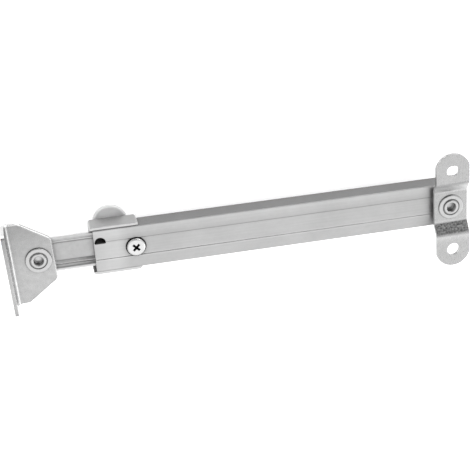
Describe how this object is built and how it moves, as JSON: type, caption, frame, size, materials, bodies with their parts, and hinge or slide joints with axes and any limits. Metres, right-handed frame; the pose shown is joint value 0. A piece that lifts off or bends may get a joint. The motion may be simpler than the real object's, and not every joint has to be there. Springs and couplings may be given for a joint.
{
  "type": "telescopic window stay",
  "caption": "Telescopic friction stay for a casement window: a steel bar slides in an aluminium rail, with a pivoting bracket at either end.",
  "frame": {"origin": "on the axis of the frame strap's round hole, on its mounting face", "axes": "+X along the rail towards the sash bracket, +Z along both pivots towards the mounting side, +Y across the rail"},
  "size_m": [0.212, 0.0556, 0.0277],
  "materials": {
    "strap_steel": "satin sheet steel, zinc plated",
    "rivet_steel": "nickel plated, softly polished",
    "nylon": "translucent white nylon, satin",
    "plain_steel": "plated steel, satin",
    "rail_aluminium": "silver anodised, fine matt grain",
    "housing_steel": "silver-grey lacquer, satin",
    "bush_brass": "turned",
    "screw_steel": "bright zinc plated",
    "black_acetal": "moulded, smooth",
    "friction_pad": "pressed fibre, matt",
    "bar_steel": "satin stainless sheet"
  },
  "bodies": {
    "frame": {"frame_bracket": "strap_steel", "frame_rivet": "rivet_steel", "frame_washer": "nylon", "frame_backing_washer": "plain_steel"},
    "rail": {"rail": "rail_aluminium", "mouth_housing": "housing_steel", "lock_bush": "bush_brass", "lock_washer": "plain_steel", "brake_shoe": "black_acetal", "brake_pad": "friction_pad", "brake_nut": "plain_steel", "brake_spring_washer": "plain_steel"},
    "screw": {"brake_screw": "screw_steel"},
    "knob": {"lock_knob": "nylon", "lock_stud": "plain_steel"},
    "bar": {"slide_bar": "bar_steel", "end_shoe": "black_acetal", "shoe_rivet": "rivet_steel", "sash_spacer": "nylon", "sash_rivet": "rivet_steel", "sash_backing_washer": "plain_steel"},
    "sash": {"sash_bracket": "strap_steel"}
  },
  "joints": [
    {"name": "frame_pivot", "type": "hinge", "parent": "frame", "child": "rail", "pos_m": [0.00053, -0.02039, -0.0077], "axis": [0, 0, 1], "continuous": true},
    {"name": "extend", "type": "slide", "parent": "rail", "child": "bar", "axis": [1, 0, 0], "range_m": [0, 0.1]},
    {"name": "sash_pivot", "type": "hinge", "parent": "bar", "child": "sash", "pos_m": [0.18973, -0.02039, -0.0075], "axis": [0, 0, 1], "continuous": true},
    {"name": "brake_adjust", "type": "hinge", "parent": "rail", "child": "screw", "pos_m": [0.14653, -0.02039, -0.0075], "axis": [0, 0, 1], "range_deg": [-90, 90]},
    {"name": "lock_turn", "type": "hinge", "parent": "rail", "child": "knob", "pos_m": [0.15603, -0.02349, -0.0185], "axis": [0, 0, 1], "range_deg": [0, 150]}
  ]
}
